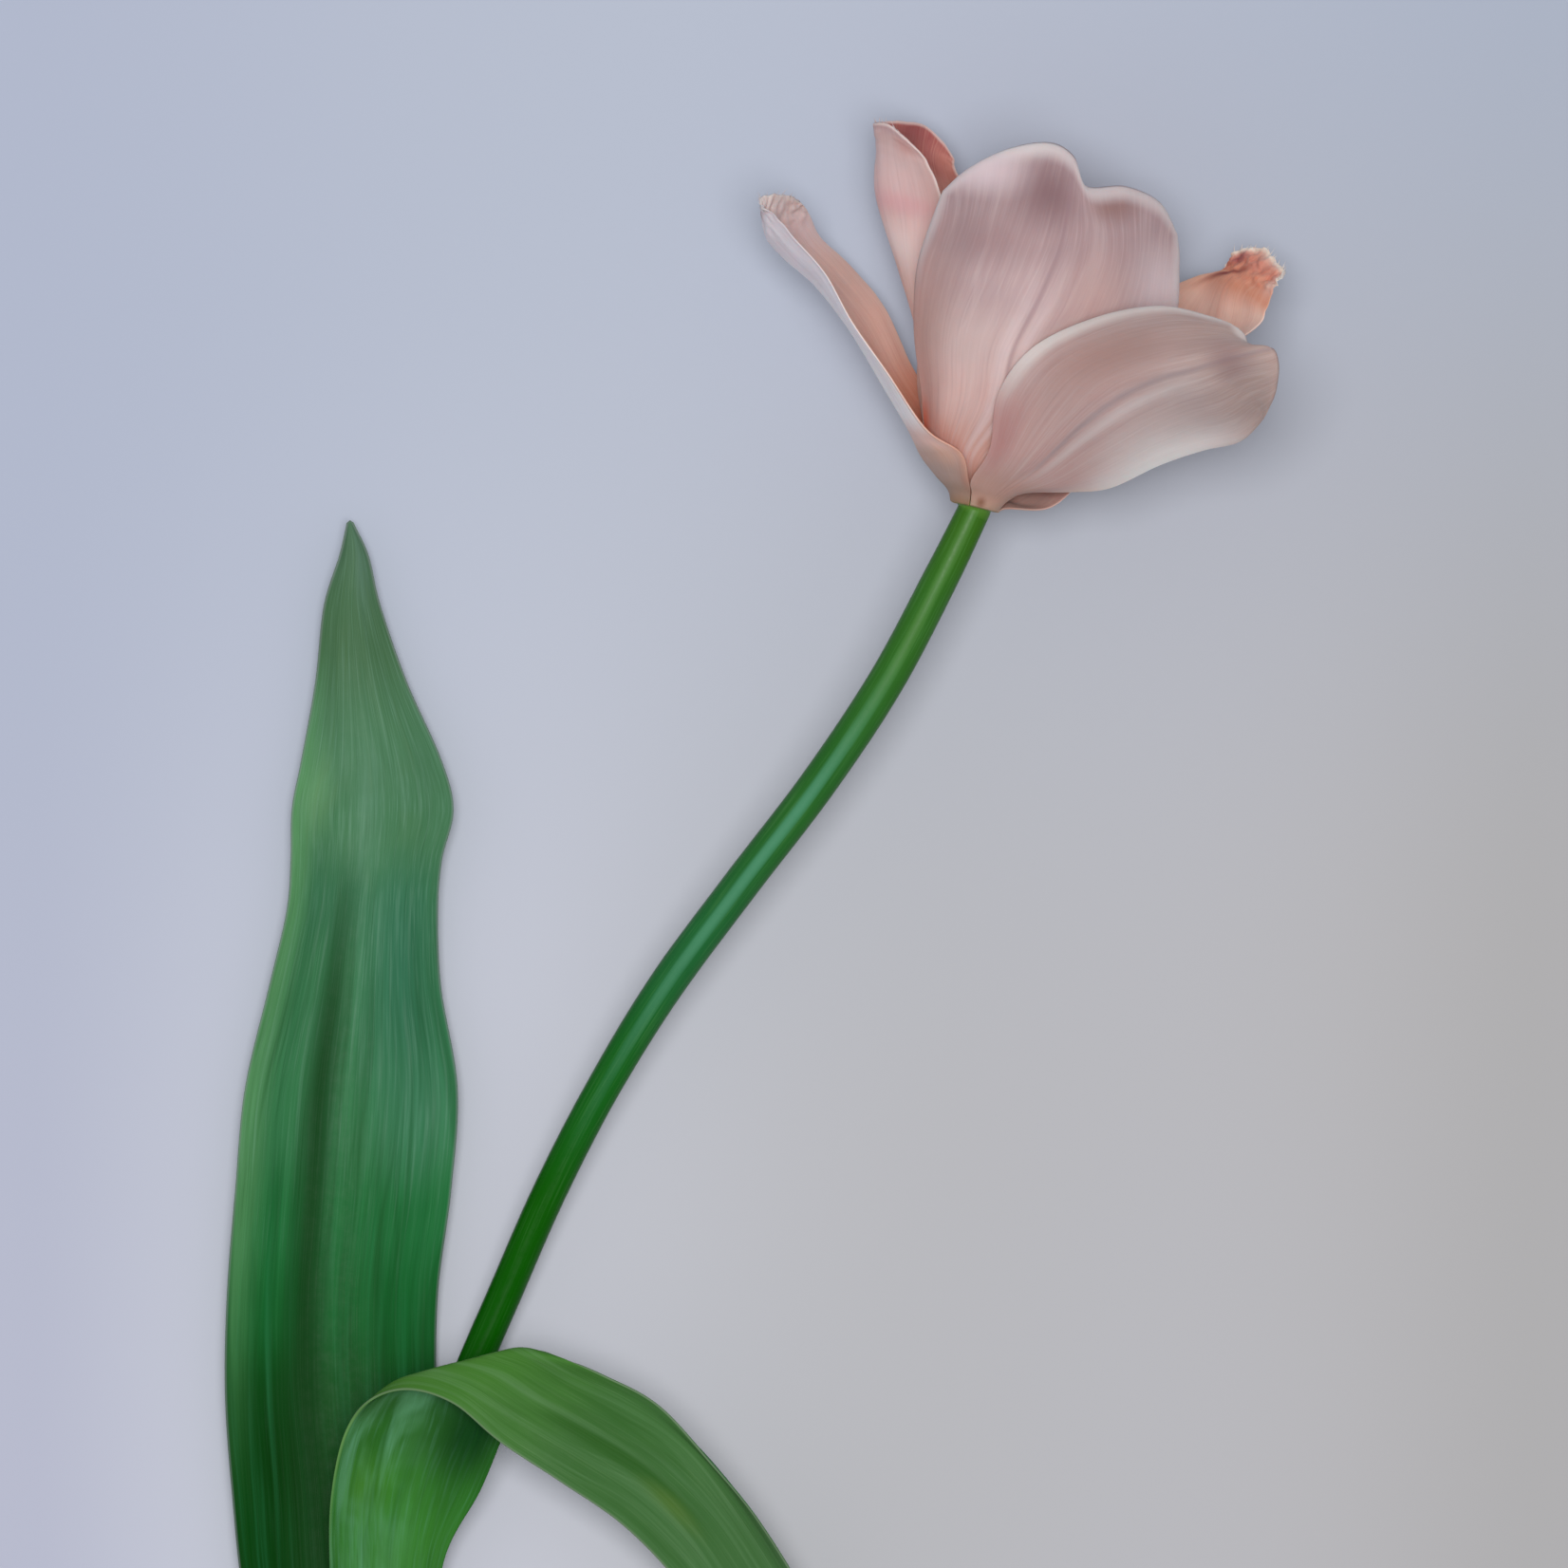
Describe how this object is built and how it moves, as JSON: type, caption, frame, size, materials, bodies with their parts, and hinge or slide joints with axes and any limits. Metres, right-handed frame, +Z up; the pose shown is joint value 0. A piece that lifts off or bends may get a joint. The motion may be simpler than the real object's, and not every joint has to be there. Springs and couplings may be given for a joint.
{
  "type": "cut tulip",
  "caption": "Cut tulip lying on its side: a long curved stem, a tall waved leaf, a leaf folded over, and a wide-open bloom of thin petals.",
  "frame": {"origin": "on the surface that the tulip lies on, under the middle of its bounding box", "axes": "+Y from the cut end of the stem towards the bloom, +Z up from the surface"},
  "size_m": [0.2082, 0.3752, 0.0764],
  "materials": {
    "stem": null,
    "leaf": null,
    "petal": null,
    "pistil": "smooth, slightly waxy",
    "stamen": "matt, powdered with pollen"
  },
  "bodies": {
    "root": {"stem": "stem", "leaf_tall": "leaf", "leaf_folded": "leaf", "petal_outer_front": "petal", "petal_outer_left": "petal", "petal_outer_under": "petal", "petal_inner_front": "petal", "petal_inner_back": "petal", "petal_inner_right": "petal", "pistil": "pistil", "stamen_1": "stamen", "stamen_2": "stamen", "stamen_3": "stamen", "stamen_4": "stamen", "stamen_5": "stamen", "stamen_6": "stamen"}
  },
  "joints": []
}
